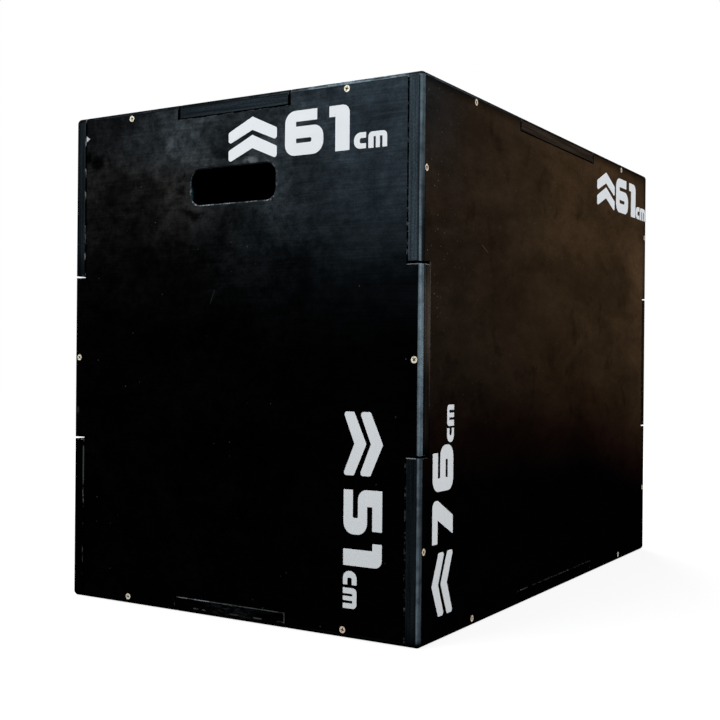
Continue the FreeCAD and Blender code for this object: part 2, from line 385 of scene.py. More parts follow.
def scratch(across, up, begin, end, share):
    """The share on a thin straight line between two places on a panel."""
    run = Vector(end) - Vector(begin)
    along = run.normalized()
    right = across - (begin[0] + end[0]) / 2
    rise = up - (begin[1] + end[1]) / 2
    off = (rise * along.x - right * along.y).size()
    on = (right * along.x + rise * along.y).size() < run.length / 2
    return on * off.rise(SCRATCH_WIDTH * SCRATCH_CORE, SCRATCH_WIDTH, share, 0.0)


print("patterns ready")

# %% [markdown]
# Painted light, wear and dirt have no sharp borders. The values below are of these kinds:
#
# - A ramp is where a change begins and ends, then the value before and after it, if not 0 and 1.
# - An area is its share, then an axis with the places where it begins and is full, for each border.
# - A pattern is a scale or three, a ramp on its noise, then detail, roughness and distortion.
# - Specks have a scale, the radius of a dot and the share of the cells that have one.

# %% Painted light on the broad faces
DEEP_BLACK = (0.0006, 0.0006, 0.0007)
FILM_CAPS = (0.0105, 0.0112, 0.012)
PAINTED_WARM_LIGHT = (0.0445, 0.026, 0.0131)
# Painted light on the ends: cool lit colours, darkest at the left and brightest at the right.
PAINTED_LIGHT_ON_ENDS = (
    # at the left, in the middle, at the lower left and at the right
    (0.0055, 0.006, 0.0065),
    ((0.0225, 0.028, 0.0315), (1.0, ("x", -0.21, -0.05))),
    ((0.0130, 0.0124, 0.0120), (1.0, ("x", 0.06, -0.1), ("z", 0.57, 0.51))),
    ((0.0225, 0.032, 0.040), (1.0, ("x", -0.02, 0.2))),
)
# Painted light on the sides: warm lit colours, brightest towards the far edge.
PAINTED_LIGHT_ON_SIDES = (
    # at the near edge, in the middle, at the far edge, low down, on the left panel, and a cool painted sheen
    (0.046, 0.030, 0.019),
    (PAINTED_WARM_LIGHT, (1.0, ("y", -0.38, 0.05))),
    ((0.066, 0.0385, 0.0195), (1.0, ("y", 0.27, 0.35), ("z", 0.54, 0.44))),
    ((0.0445, 0.017, 0.012), (1.0, ("h", 0.3, 0.17))),
    ((0.029, 0.0205, 0.0145), (1.0, ("x", 0.1, -0.1))),
    ((0.030, 0.034, 0.038), (0.7, ("y", -0.26, -0.37), ("z", 0.47, 0.6))),
)
# Ramps of the painted light: it fades to black towards the floor, and on the sides also near the front, top
# and far edges.
ENDS_LIFT = (0.06, 0.2, 0.0, 0.016)
ENDS_UPPER = (0.40, 0.55, 0.0, 0.86)
ENDS_LOWER = (0.32, 0.45, 0.0, 0.14)
SIDES_DROP = (0.06, 0.42, 0.0, 0.068)
SIDES_UPPER = (0.22, 0.5, 0.0, 0.55)
SIDES_LOWER = (0.14, 0.3, 0.0, 0.45)
SIDES_ALONG = (-0.38, 0.22, 0.45)
TOP_EDGE = (0.592, 0.605, 1.0, 0.4)
FAR_EDGE = (0.358, 0.375, 1.0, 0.4)
HIDDEN_FACES = (-0.2, 0.5, 0.0, 0.5)
FACING_CHANGE = (0.4, 0.6)


def by_facing(board, on_sides, on_ends, on_caps):
    """A colour chosen by the direction that the surface faces."""
    level = board.facing[END].rise(*FACING_CHANGE).mixed(on_caps, on_ends)
    return board.facing[SIDE].rise(*FACING_CHANGE).mixed(level, on_sides)


def film_on_board(board):
    """Painted light on the broad faces, fading to black towards the floor and the edges, less on hidden
    faces.
    """
    x, y, z = board.spot
    hidden = z.rise(*HIDDEN_FACES)
    height = z + x.rise(*ENDS_LIFT)
    share = height.rise(*ENDS_UPPER) + height.rise(*ENDS_LOWER)
    ends = share.most(hidden * (y > 0)).mixed(DEEP_BLACK, board.layered(PAINTED_LIGHT_ON_ENDS))
    height = z + y.rise(*SIDES_DROP)
    share = height.rise(*SIDES_UPPER) + height.rise(*SIDES_LOWER)
    share = share * y.rise(*SIDES_ALONG) * z.rise(*TOP_EDGE) * y.rise(*FAR_EDGE)
    sides = share.most(hidden * (x < 0)).mixed(DEEP_BLACK, board.layered(PAINTED_LIGHT_ON_SIDES, height))
    return by_facing(board, sides, ends, FILM_CAPS)


print("film ready")

# %% Sawn ends of the fingers
# Sawn ends show paler than the faces, and their colours hold painted light: cool where they face the front
# and warm where they face the side.
SAWN_ENDS = (0.056, 0.080, 0.098)
SAWN_SIDES = (0.058, 0.047, 0.0385)
PAINTED_FINGER_LIGHT = (0.041, 0.029, 0.021)
SAWN_LOWER = (0.2, 0.4, 0.0, 0.6)
SAWN_UPPER = (0.5, 0.6, 0.0, 0.27)
SAWN_ACROSS = (-0.2, 0.2, 0.32)
SAWN_FOOT = (0.14, ("x", 0.1, 0.2), ("z", -0.01, 0.03))
# Painted shade at the outer left of the front's sawn strips, and lower down on the left.
LEFT_RIM_SHADE = (0.75, ("x", 0.2, -0.2), ("x", -0.241, -0.251))
LEFT_LOW_SHADE = (0.7, ("x", 0.2, -0.2), ("z", 0.45, 0.405))
CAP_END_SHARE = 0.5
CAP_ENDS = (0.2, 0.4, 0.0, 0.05)
CAP_SIDES = (0.1, 0.5, 0.0, 0.95)
FINGER_SCUFFS = ((24, 24, 260), (0.5, 0.72, 0.0, 0.06), 3.0, 0.6)
NEAR_FOOT = (0.2, 0.23, 0.0, 0.18)
NEAR_FINGER = (0.28, 0.335, 0.0, 0.82)
NEAR_TOP = (0.375, 0.4, 1.0, 0.4)
FAR_FINGER = (0.24, 0.36, 0.3, 0.6)


def sawn_on_board(board):
    """The paint on the sawn ends of a board's fingers, with painted light: lighter up high and to the right.
    """
    x, y, z = board.spot
    ends = (z.rise(*SAWN_LOWER) + z.rise(*SAWN_UPPER)) * x.rise(*SAWN_ACROSS) + board.area(SAWN_FOOT)
    ends = ends * (1 - board.area(LEFT_RIM_SHADE)) * (1 - board.area(LEFT_LOW_SHADE))
    if board.kind == CAP:
        ends = ends * CAP_END_SHARE + z.rise(*CAP_ENDS) + pattern(board.place, *FINGER_SCUFFS)
        sides = z.rise(*CAP_SIDES).mixed(DEEP_BLACK, PAINTED_FINGER_LIGHT)
    else:
        near_share = z.rise(*NEAR_FOOT) + z.rise(*NEAR_FINGER) * z.rise(*NEAR_TOP)
        sides = (y > 0).mixed(near_share.mixed(DEEP_BLACK, SAWN_SIDES),
                              z.rise(*FAR_FINGER).mixed(DEEP_BLACK, PAINTED_WARM_LIGHT))
    return by_facing(board, sides, ends.mixed(DEEP_BLACK, SAWN_ENDS), FILM_CAPS)


print("sawn ends ready")

# %% [markdown]
# Hands and knocks leave smears round the hand hole, dark spots and a chip at the top left of the
# front, a fine scratch on two faces, and rubbed dashes along the fingers. The dark spots are painted
# shade, two of them in dents, and painted shade also darkens a band beside the left joint. For each
# kind of board a function says how much of the painted light is left, and how bare the paint is.

# %% Knocks on the ends
HOLE_MIDDLE = 0.508
HOLE_STRAIGHT = (0.049, 0.008)
HOLE_CORNER = 0.0145
RING_INNER = (0.005, 0.01)
RING_OUTER = (0.014, 0.024, 1.0, 0.0)
RING_ACROSS = (-0.03, 0.03, 0.75, 0.0)
SMEARS = (60.0, (0.4, 0.58))
RIM_DOTS = (330.0, (0.55, 0.66), 2.0)
RIM_DOTS_REACH = (0.001, 0.0022, 1.0, 0.0)
RIM_DOTS_ACROSS = (0.045, 0.056, 0.0, 0.16)
END_FINGER = 0.203
# Painted shade: a dark band on the front beside the left joint, away from the middle finger.
LEFT_JOINT_SHADE = (-0.235, -0.2325, 0.9, 0.0)
WAVES = 70.0
# Spots of painted shade: two dents, then two darker patches.
DENTS_AND_SHADE_SPOTS = (
    # middle across and up, ramp outwards from it, how far waves bend the spot, and its flatness
    ((-0.2315, 0.5575), (0.003, 0.0125, 0.9, 0.0), 0.012, 1.0),
    ((-0.2145, 0.5505), (0.004, 0.016, 0.9, 0.0), 0.012, 1.0),
    ((-0.18, 0.5165), (0.005, 0.045, 0.45, 0.0), 0.036, 1.0),
    ((-0.015, 0.453), (0.005, 0.05, 0.45, 0.0), 0.036, 1.0),
)
# A lighter spot, with more of the painted light.
LIGHTER_SPOT = ((-0.06, 0.561), (0.01, 0.065, 0.6, 0.0), 0.036, 1.0)
RUBBED_SPOT = ((0.027, 0.5335), (0.005, 0.013, 0.1, 0.0), 0.012, 2.2)
RUBS = ((120, 120, 260), (0.4, 0.55))
FINGER_SPOT = ((-0.2465, 0.238), (0.001, 0.003, 0.02, 0.0), 0.0, 0.5)
FRONT_SCRATCH = ((-0.0245, 0.3855), (-0.031, 0.3695), 0.02)
CHIP_PLACE = (-0.2375, 0.5825)
CHIP_BEND = 0.0048
CHIP_SLOPES = (110, 190)
CHIP_BORDER = (0.85, 1.1, 0.6, 0.0)


def beside_hole(board):
    """How far a point lies outside the rim of the hand hole."""
    x, _, z = board.spot
    across = (x.size() - HOLE_STRAIGHT[0]).most(0.0)
    up = ((z - HOLE_MIDDLE).size() - HOLE_STRAIGHT[1]).most(0.0)
    return (across * across + up * up).root() - HOLE_CORNER


def soft_spot(board, waves, middle, fade, bend, flatness):
    """A round or flattened spot with a soft border."""
    right = board.spot[0] + waves * bend - middle[0]
    rise = (board.spot[2] - middle[1]) * flatness
    return (right * right + rise * rise).root().rise(*fade)


def knocks_on_ends(board):
    """Smears and painted shade that take away painted light, and bare spots, on the front alone."""
    x, y, z = board.spot
    rim = beside_hole(board)
    waves = pattern(board.place, WAVES) - 0.5
    ring = rim.rise(*RING_INNER) * rim.rise(*RING_OUTER) * x.rise(*RING_ACROSS)
    smears_and_shade = ring * pattern(board.place, *SMEARS)
    smears_and_shade = smears_and_shade.most(x.rise(*LEFT_JOINT_SHADE) * ((z - HALF_HEIGHT).size() > END_FINGER / 2))
    for spot in DENTS_AND_SHADE_SPOTS:
        smears_and_shade = smears_and_shade.most(soft_spot(board, waves, *spot))
    painted_light_left = 1 - (smears_and_shade - soft_spot(board, waves, *LIGHTER_SPOT)) * (y < 0)

    bare = scratch(x, z, *FRONT_SCRATCH)
    bare = bare.most(soft_spot(board, waves, *RUBBED_SPOT) * pattern(board.place, *RUBS))
    bare = bare.most(soft_spot(board, waves, *FINGER_SPOT))
    dots = pattern(board.place, *RIM_DOTS) * x.rise(*RIM_DOTS_ACROSS)
    bare = bare.most(dots * rim.rise(*RIM_DOTS_REACH))
    chip = (x - CHIP_PLACE[0] + waves * CHIP_BEND) * CHIP_SLOPES[0]
    chip = (chip + (z - CHIP_PLACE[1]).size() * CHIP_SLOPES[1]).rise(*CHIP_BORDER)
    return painted_light_left, bare.most(chip) * (y < 0)


print("knocks on the ends ready")

# %% Knocks on the other boards
# Points nearer than this belong to the front.
FRONT = -0.37
SIDE_SPOTS = (26.0, (0.58, 0.72, 1.0, 0.7))
SIDE_SCRATCH = ((-0.2376, 0.4390), (-0.2212, 0.4320), 0.055)
EDGE_SPECKS = (130.0, 0.11, 0.12)
NEAR_EDGE = (0.15, ("y", -0.27, -0.372), ("z", 0.2, 0.4))
FAR_DASHES = ((160, 160, 42), (0.52, 0.64), 3.0, 0.6)
FLECK_LINE = (0.3, ("z", 0.14, 0.15), ("z", 0.194, 0.19))
FLECKS_UP = (0.1, 0.14, 0.4)
FLECK_BAND = (-0.2375, -0.2)
FLECK_SHARE = 0.12
CAP_SCUFFS = ((160, 7, 7), (0.6, 0.75, 0.0, 0.012))
LOW_FINGER_TOP = 0.02
FOOT_DASHES = ((90, 90, 300), (0.5, 0.62), 3.0, 0.6)
FOOT_ROW = (0.09, ("z", 0.0057, 0.0065), ("z", 0.0079, 0.0071))
FOOT_SMUDGES = ((110, 110, 420), (0.46, 0.66), 4.0, 0.65)
FOOT_MIDDLE = (0.012, ("x", -0.04, -0.015), ("x", 0.05, 0.025))


def far_flecks(board):
    """Upright dashes where the far finger ends have rubbed along their joint."""
    dashes = pattern(board.place, *FAR_DASHES).most(board.area(FLECK_LINE))
    return dashes * board.spot[2].rise(*FLECKS_UP)


def knocks_on_sides(board):
    """Spots in the painted light, specks beside the near edge, and flecks along the far joint."""
    x, y, z = board.spot
    bare = scratch(y, z, *SIDE_SCRATCH)
    bare = bare.most(specks(board.flat, *EDGE_SPECKS) * board.area(NEAR_EDGE))
    flecks = far_flecks(board) * (x > FLECK_BAND[0]) * (x < FLECK_BAND[1]) * (y < FRONT)
    bare = (bare * (x > 0) * board.broad).most(flecks * FLECK_SHARE)
    return pattern(board.place, *SIDE_SPOTS), bare


def low_finger(board):
    """1 on the end of the bottom panel's finger in the front end."""
    return (board.spot[2] < LOW_FINGER_TOP) * (board.spot[1] < FRONT)


def knocks_on_caps(board):
    """Scuffs on the broad faces, and dashes and smudges on the low finger."""
    scuffs = pattern(board.place, *CAP_SCUFFS) * board.broad
    dashes = pattern(board.place, *FOOT_DASHES) * board.area(FOOT_ROW)
    smudges = pattern(board.place, *FOOT_SMUDGES) * board.area(FOOT_MIDDLE)
    return 1.0, scuffs.most(dashes.most(smudges) * low_finger(board))


KNOCKS = {SIDE: knocks_on_sides, END: knocks_on_ends, CAP: knocks_on_caps}
print("knocks on", len(KNOCKS), "kinds of board")

# %% Joint bevels
PALE_NICK_AND_HIGHLIGHT = (0.26, 0.28, 0.29)
FINGER_LINE_HIGHLIGHT = (0.080, 0.059, 0.047)
HOLE_RIM = (0.016, 0.022, 0.026)
LEANING = (0.3, 0.6)
LEDGE_PATCHES = (0.45, 0.58)
LEDGE_SIDEWAYS = (0.3, 0.6, 0.7, 0.1)
END_LEDGE_SHARE = 0.45
NICKED_STRETCHES = (14.0, (0.42, 0.58, 0.0, 0.25), 2.0)
NEAR_NICK_SHARE, HOLE_NICK_SHARE = 0.3, 0.6
NEAR_JOINT, END_LEDGE = 0.23, 0.22
FINGER_LINE_UP = (0.225, 0.34)
FINGER_LINE_ACROSS, FINGER_LINE_ALONG = 0.25, -0.33
FAR_FLECK_SHARE = 0.7
FOOT_PATCHES = (0.4, 0.56, 0.25)
FOOT_LINE_ACROSS = (-0.035, 0.01, 0.55, 0.18)
FOOT_END_SHARE = 0.3
AT_HOLE = (0.002, 0.003, 1.0, 0.0)
RIM_LOSS = (300.0, (0.42, 0.58, 0.8, 0.0), 2.0)
TOP_SEAM = (0.578, 0.584, 1.0, 0.2)


def foot_line(board, patches):
    """The rubbed outline of the low finger, brightest at its left."""
    line = board.up.rise(*LEANING) * patches.rise(*FOOT_PATCHES) * board.spot[0].rise(*FOOT_LINE_ACROSS)
    return line.most(board.right.rise(*LEANING) * FOOT_END_SHARE)


def seam_along_joint(board, nicks_and_glints, patches):
    """Joint bevels: black grime, pale chips partly painted highlight, and painted highlights on ledges."""
    x, y, z = board.spot
    upward = board.up.rise(*LEANING)
    sideways = board.facing[SIDE]
    # Ledges that face upwards carry a painted highlight.
    ledge_highlight = upward * patches.rise(*LEDGE_PATCHES) * sideways.rise(*LEDGE_SIDEWAYS)
    nicked = NEAR_NICK_SHARE * (x > NEAR_JOINT) * (y < FRONT)
    nicked = nicked + pattern(board.place, *NICKED_STRETCHES)
    pale = ledge_highlight.most(nicks_and_glints * nicked * (x > -NEAR_JOINT))
    seam = DEEP_BLACK
    if board.kind == SIDE:
        # A painted highlight on the right panel's bevels that face the front and the right, near the front.
        line = board.right.rise(*LEANING) * (0 - board.back).rise(*LEANING)
        line = line * (y < FINGER_LINE_ALONG) * (x > FINGER_LINE_ACROSS)
        seam = (line * z.rise(*FINGER_LINE_UP)).mixed(DEEP_BLACK, FINGER_LINE_HIGHLIGHT)
        pale = pale.most(far_flecks(board) * (x < -NEAR_JOINT) * (y < FRONT) * FAR_FLECK_SHARE)
    if board.kind == CAP:
        pale = pale + low_finger(board) * (foot_line(board, patches) - pale)
    if board.kind == END:
        pale = pale.most(upward * (x > END_LEDGE) * (y < 0) * END_LEDGE_SHARE)
        at_hole = beside_hole(board).rise(*AT_HOLE)
        seam = at_hole.mixed(DEEP_BLACK, HOLE_RIM)
        pale = pale * (1 - at_hole * pattern(board.place, *RIM_LOSS))
        pale = pale.most(at_hole * sideways.rise(*LEANING) * nicks_and_glints * HOLE_NICK_SHARE)
    return (pale * z.rise(*TOP_SEAM)).mixed(seam, PALE_NICK_AND_HIGHLIGHT)


print("joints ready")

# %% Rubbed outer edges with their painted highlight
WORN_EDGE_AND_HIGHLIGHT = (0.27, 0.372, 0.44)
TOP_FACING = (0.2, 0.5)
BASE_FACING = (-0.5, -0.2, 0.1)
WORN_PATCHES = (0.3, 0.6, 0.5)
TOP_LOSS_PATCHES = (0.42, 0.58, 0.45, 0.0)
STREAKS = ((520, 520, 12), (0.3, 0.7, 0.55, 1.1), 3.0, 0.6)
HANDLED_CORNER = (0.3, 0.6, 0.07)
TOP_LOSS = {SIDE: 0.88, END: 0.4, CAP: 0.88}
RUB_LOW = (0.05, 0.11, 1.05, 0.72)
RUB_HIGH = (0.12, 0.42, 0.0, 0.28)
OFF_THE_FLOOR = (0.003, 0.012)
SCRAPES = ((36, 36, 900), (0.38, 0.62, 0.75, -0.35), 3.0, 0.65)
TAPER = (0.52, 0.6, 0.6, 0.3)
TAPER_BULGE = (0.35, ("z", 0.36, 0.4), ("z", 0.54, 0.42))
TAPER_FACING = (0.45, 0.85)
LOW_EDGE = (0.2, 0.4, 1.15, 1.0)


def rubbed_edges(board, patches, rub_and_highlight_strength):
    """Rubbed grey and painted highlight on the rounded edges: most at the near corner, least at the base."""
    x, y, z = board.spot
    top = board.up.rise(*TOP_FACING)
    worn = patches.rise(*WORN_PATCHES) - top * patches.rise(*TOP_LOSS_PATCHES)
    facing = (1 - top * TOP_LOSS[board.kind]) * board.up.rise(*BASE_FACING)
    height = (z.rise(*RUB_LOW) + z.rise(*RUB_HIGH)) * z.rise(*OFF_THE_FLOOR)
    rub_and_highlight = board.rounding * worn * facing * height * (x - y).rise(*HANDLED_CORNER) * rub_and_highlight_strength
    rub_and_highlight = rub_and_highlight * pattern(board.place, *STREAKS) * (1 - top * pattern(board.place, *SCRAPES))
    if board.kind == SIDE:
        taper = z.rise(*TAPER) + board.area(TAPER_BULGE)
        rub_and_highlight = rub_and_highlight * (1 - taper * board.facing[SIDE].rise(*TAPER_FACING)) * z.rise(*LOW_EDGE)
    return rub_and_highlight


print("edges ready")

# %% Dust, and the painted shade below the skin
DUST = (0.8, 0.82, 0.83)
SMALL_SPECKS = (85.0, 0.09)
LARGE_SPECKS = (40.0, 0.04)
SPECK_SHARE = 0.05
SETTLED = (0.15, 0.35)
DASH_STRETCH = (22, 380, 1)
DASHES = (1.0, 0.35, 0.012)
DASHES_UP = (0.4, 0.5, 0.0, 0.008)
HOLE_GLINT = (0.018, 0.05, 0.072)
GLINT = (1.0, ("z", 0.493, 0.499), ("z", 0.511, 0.505), ("y", -0.375, -0.379))
GLINT_ACROSS = -0.05


def loose_dust(board, share):
    """Specks and a few dashes of dust on the broad faces."""
    dust = specks(board.flat, *SMALL_SPECKS, share).most(specks(board.flat, *LARGE_SPECKS, share))
    z = board.spot[2]
    settled = z.rise(*SETTLED) if board.kind == SIDE else 1.0
    dashes = specks(stretched(board.flat, DASH_STRETCH), *DASHES) * z.rise(*DASHES_UP)
    return (dust * SPECK_SHARE * settled).most(dashes) * board.broad


def below_skin(board):
    """Painted shade: black inside the joints and the hand hole, with a painted glint on its left wall."""
    if board.kind != END:
        return DEEP_BLACK
    return ((board.spot[0] < GLINT_ACROSS) * board.area(GLINT)).mixed(DEEP_BLACK, HOLE_GLINT)


print("dust ready")

# %% The paint itself
PAINTS = {
    # finish: kind of board, how its clouds and its brush lines are drawn out, how strongly clouds, mottles
    # and brush lines show, its share of dust, and how its edges are rubbed, with their painted highlight
    "paint_on_ends": (END, (1.0, 1.0, 1.2), (16, 16, 480), 1.2, 1.3, 1.25, 0.025, 0.78),
    "paint_on_sides": (SIDE, (1.0, 0.42, 1.0), (14, 60, 60), 0.672, 0.312, 0.1, 0.08, 0.5),
    "paint_on_caps": (CAP, (1.0, 1.0, 1.0), (240, 12, 14), 0.64, 0.585, 0.6, 0.05, 0.4),
}
CLOUDS = (11.0, (0.33, 0.7), 7.0, 0.66, 0.4)
MOTTLES = (55.0, (0.3, 0.72), 8.0, 0.76, 0.2)
CLOUD_MIDDLE, MOTTLE_MIDDLE, BRUSH_MIDDLE = 0.45, 0.48, 0.5
CALM_ACROSS = (0.05, 0.2, 1.0, 0.5)
FINE_GRAIN = (600.0, None, 2.0)
FINE_LEAST, FINE_SPAN = 0.55, 0.9
LAYERS_THROUGH, LAYERS_ALONG = 420, 9
LAYERS = ((0.3, 0.72), 4.0, 0.65)
LAYER_LEAST, LAYER_SPAN = 0.4, 0.75
SAWN_GRAIN = (520.0, (0.35, 0.75, 0.75, 1.35), 2.0, 0.65)
PATCHES = (60.0, None, 4.0, 0.65)
NICKS_AND_GLINTS = (170.0, (0.5, 0.66), 3.0, 0.7)
SKIRT_SHARE = 0.85
BRUSH_RELIEF, FINE_RELIEF = 0.35, 0.3
RELIEF_STRENGTH, RELIEF_DEPTH = 0.25, 0.0004
ROUGHNESS, CLOUD_ROUGHNESS, RUB_POLISH = 0.6, 0.2, 0.1
RUB_COAT, COAT_ROUGHNESS = 0.2, 0.3


def scaled(wire, factor):
    """A colour times a number."""
    return wire.node("ShaderNodeVectorMath", {0: wire, "Scale": factor}, {"operation": "SCALE"})


def end_finish(start, sockets):
    """The shader of a finish, with the values of its sockets."""
    shader = start.node("ShaderNodeBsdfPrincipled", sockets)
    start.node("ShaderNodeOutputMaterial", {"Surface": shader})


def make_paint(name, kind, cloud_stretch, brush_stretch, cloudy, mottled, brushy, dusty, rub_and_highlight_strength):
    """One finish: painted light on the faces and sawn edges first, then worn edges with their painted
    highlight, joints, dust and the painted shade inside.
    """
    finish, start = start_finish(name)
    board = BoardSpot(start, kind)
    place = board.place
    painted_light_left, bare = KNOCKS[kind](board)

    drawn_out = stretched(place, cloud_stretch)
    clouds = pattern(drawn_out, *CLOUDS) - CLOUD_MIDDLE
    mottles = pattern(drawn_out, *MOTTLES) - MOTTLE_MIDDLE
    brushed = pattern(place, brush_stretch)
    fine = pattern(place, *FINE_GRAIN)
    calm = board.spot[0].rise(*CALM_ACROSS) if kind == END else 1.0
    strength = (1 + cloudy * calm * clouds) * (1 + mottled * calm * mottles)
    strength = strength * (1 + brushy * (brushed - BRUSH_MIDDLE)) * (FINE_LEAST + FINE_SPAN * fine)
    face = scaled(film_on_board(board), strength * painted_light_left)

    layer_stretch = tuple(LAYERS_THROUGH if axis == kind else LAYERS_ALONG for axis in range(3))
    layers = pattern(place, layer_stretch, *LAYERS)
    grain = pattern(place, *SAWN_GRAIN)
    sawn = scaled(sawn_on_board(board), (LAYER_LEAST + LAYER_SPAN * layers) * grain)

    patches = pattern(place, *PATCHES)
    rub_and_highlight = rubbed_edges(board, patches, rub_and_highlight_strength)
    paint = board.broad.mixed(sawn, face)
    paint = (board.skirt * SKIRT_SHARE).mixed(paint, DEEP_BLACK)
    paint = rub_and_highlight.mixed(paint, WORN_EDGE_AND_HIGHLIGHT)
    paint = board.arris.mixed(paint, seam_along_joint(board, pattern(place, *NICKS_AND_GLINTS), patches))
    paint = loose_dust(board, dusty).most(bare).mixed(paint, DUST)
    paint = board.inside.mixed(paint, below_skin(board))

    relief = brushed * BRUSH_RELIEF * board.broad + layers * (1 - board.broad) + fine * FINE_RELIEF
    bump = start.node("ShaderNodeBump", {
        "Strength": RELIEF_STRENGTH, "Distance": RELIEF_DEPTH, "Height": relief})
    end_finish(start, {
        "Base Color": paint,
        "Roughness": ROUGHNESS + CLOUD_ROUGHNESS * clouds - RUB_POLISH * rub_and_highlight,
        "Coat Weight": rub_and_highlight * RUB_COAT,
        "Coat Roughness": COAT_ROUGHNESS,
        "Specular IOR Level": 0.0,
        "Normal": bump,
    })
    return finish


paints = {name: make_paint(name, *values) for name, values in PAINTS.items()}
print("paints", list(paints))

# %% Paint the boards
BOARDS = {
    "paint_on_ends": ("front_end_panel", "rear_end_panel", "centre_brace"),
    "paint_on_sides": ("right_side_panel", "left_side_panel"),
    "paint_on_caps": ("top_panel", "bottom_panel"),
}
for paint_name, boards in BOARDS.items():
    for board in boards:
        for slot in nodes[board].material_slots:
            slot.material = paints[paint_name]
    print(paint_name, "on", boards)

# %% [markdown]
# ## Wood screws
# Every finger is held by one countersunk screw with a yellow zinc finish and a cross recess. The
# screws repeat, so one node tree makes a screw and puts a copy on each point of a small mesh, the
# screw places of one panel. The tree works in millimetres: a straight curve with a radius at each
# point becomes the head, shank and tip, a spiral is the thread, and two bars are cut out of the head.

# %% Finish of the screws
ZINC_PALE = (0.80, 0.765, 0.60)
ZINC_WARM = (0.74, 0.59, 0.45)
ZINC_DULL = (0.42, 0.33, 0.23)
# Painted shade with grime in the cross recess.
RECESS_SHADE_AND_DIRT = (0.05, 0.043, 0.035)
BLOTCHES = (420.0, None, 3.0, 0.6)
BLOTCH_RAMP = (0.3, 0.6)
WARMTH = (7.0, None, 1.0)
WARMTH_RAMP = (0.5, 0.75)
# Screws that face sideways are painted warmer, a painted warm light like that on the sides of the box.
SIDEWAYS_WARM_LIGHT = 0.25
METALLIC, RECESS_METALLIC_LOSS = 0.35, 0.3
ZINC_ROUGHNESS, BLOTCH_ROUGHNESS = 0.42, 0.2


def make_zinc():
    """Yellow zinc: paler and warmer screws, warmer still as painted light where they face sideways,
    dull blotches, and painted shade with grime in the recess.
    """
    finish, start = start_finish("yellow_zinc_plate")
    place = start.node("ShaderNodeTexCoord", output="Object")
    recess_shade_and_dirt = start.node("ShaderNodeAttribute", None, {"attribute_name": "recess"}, "Fac")
    blotches = pattern(place, *BLOTCHES)
    sideways = start.node("ShaderNodeNewGeometry", output="Normal").parts()[0].size()
    warm = (pattern(place, *WARMTH) + sideways * SIDEWAYS_WARM_LIGHT).rise(*WARMTH_RAMP)
    bright = blotches.rise(*BLOTCH_RAMP).mixed(ZINC_DULL, warm.mixed(ZINC_PALE, ZINC_WARM))
    end_finish(start, {
        "Base Color": recess_shade_and_dirt.mixed(bright, RECESS_SHADE_AND_DIRT),
        "Metallic": METALLIC - RECESS_METALLIC_LOSS * recess_shade_and_dirt,
        "Roughness": ZINC_ROUGHNESS + BLOTCH_ROUGHNESS * blotches,
    })
    return finish


zinc = make_zinc()
print("finish", zinc.name)

# %% The screw tree
SCREW_MM = {
    "Head radius": 4.0,
    "Shank radius": 1.9,
    "Core radius": 1.4,
    "Thread radius": 1.66,
    "Thread size": 0.33,
    "Length": 45.0,
    "Tip length": 6.0,
    "Smooth length": 14.0,
    "Head cone": 2.0,
    "Head sink": 0.3,
    "Rim break": 0.25,
    "Recess span": 4.6,
    "Recess arm": 1.2,
    "Recess depth": 1.5,
}
MM = 0.001
TIP_RADIUS = 0.05
SCREW_SIDES = 32
THREAD_TURNS = 13
THREAD_STEPS = 14
THREAD_SIDES = 3
# The floors of the two bars lie this far apart, so no faces fall together.
RECESS_STEP = 0.12
RECESS_MARGIN = 0.02
RECESS_REACH = 0.45


def lathe(start, profile, sides):
    """A solid of revolution about Z, with a radius at each height."""
    count = len(profile)
    line = start.node("GeometryNodeMeshLine", {"Count": count})
    curve = start.node("GeometryNodeMeshToCurve", {"Mesh": line})
    index = start.node("GeometryNodeInputIndex")
    chosen = []
    for column in range(2):
        switch = start.tree.nodes.new("GeometryNodeIndexSwitch")
        switch.data_type = "FLOAT"
        while len(switch.index_switch_items) < count:
            switch.index_switch_items.new()
        start.fill(switch.inputs["Index"], index)
        for k, row in enumerate(profile):
            start.fill(switch.inputs[str(k)], row[column])
        chosen.append(Wire(start.tree, switch.outputs[0]))
    radius, height = chosen
    spot = start.vector(Z=height)
    curve = start.node("GeometryNodeSetPosition", {"Geometry": curve, "Position": spot})
    curve = start.node("GeometryNodeSetCurveRadius", {"Curve": curve, "Radius": radius})
    ring = start.node("GeometryNodeCurvePrimitiveCircle", {"Resolution": sides, "Radius": 1.0})
    sockets = {"Curve": curve, "Profile Curve": ring, "Fill Caps": True, "Scale": radius}
    return start.node("GeometryNodeCurveToMesh", sockets)


def cut_recess(start, size, top, body):
    """Cut a cross into the head, and mark the faces in it for their painted shade and grime."""
    bars = []
    for long_side, short_side, deeper in (("X", "Y", 0.0), ("Y", "X", RECESS_STEP)):
        bar_size = start.vector(**{
            long_side: size["Recess span"], short_side: size["Recess arm"],
            "Z": size["Recess depth"] * 2 + deeper * 2})
        bar = start.node("GeometryNodeMeshCube", {"Size": bar_size})
        moved = {"Geometry": bar, "Translation": start.vector(Z=top)}
        bars.append(start.node("GeometryNodeTransform", moved))
    cross = start.node("GeometryNodeMeshBoolean", {"Mesh": bars}, {"operation": "UNION"})
    body = start.node("GeometryNodeMeshBoolean", {"Mesh 1": body, "Mesh 2": cross},
                      {"operation": "DIFFERENCE"})
    x, y, level = start.node("GeometryNodeInputPosition").parts()
    floor_level = top - size["Recess depth"] - RECESS_STEP
    sunk = (level < top - RECESS_MARGIN) * (level > floor_level - RECESS_MARGIN)
    sunk = sunk * (x.size().most(y.size()) < size["Recess span"] * RECESS_REACH)
    return start.node("GeometryNodeStoreNamedAttribute", {"Geometry": body, "Name": "recess", "Value": sunk},
                      {"data_type": "FLOAT", "domain": "FACE"})


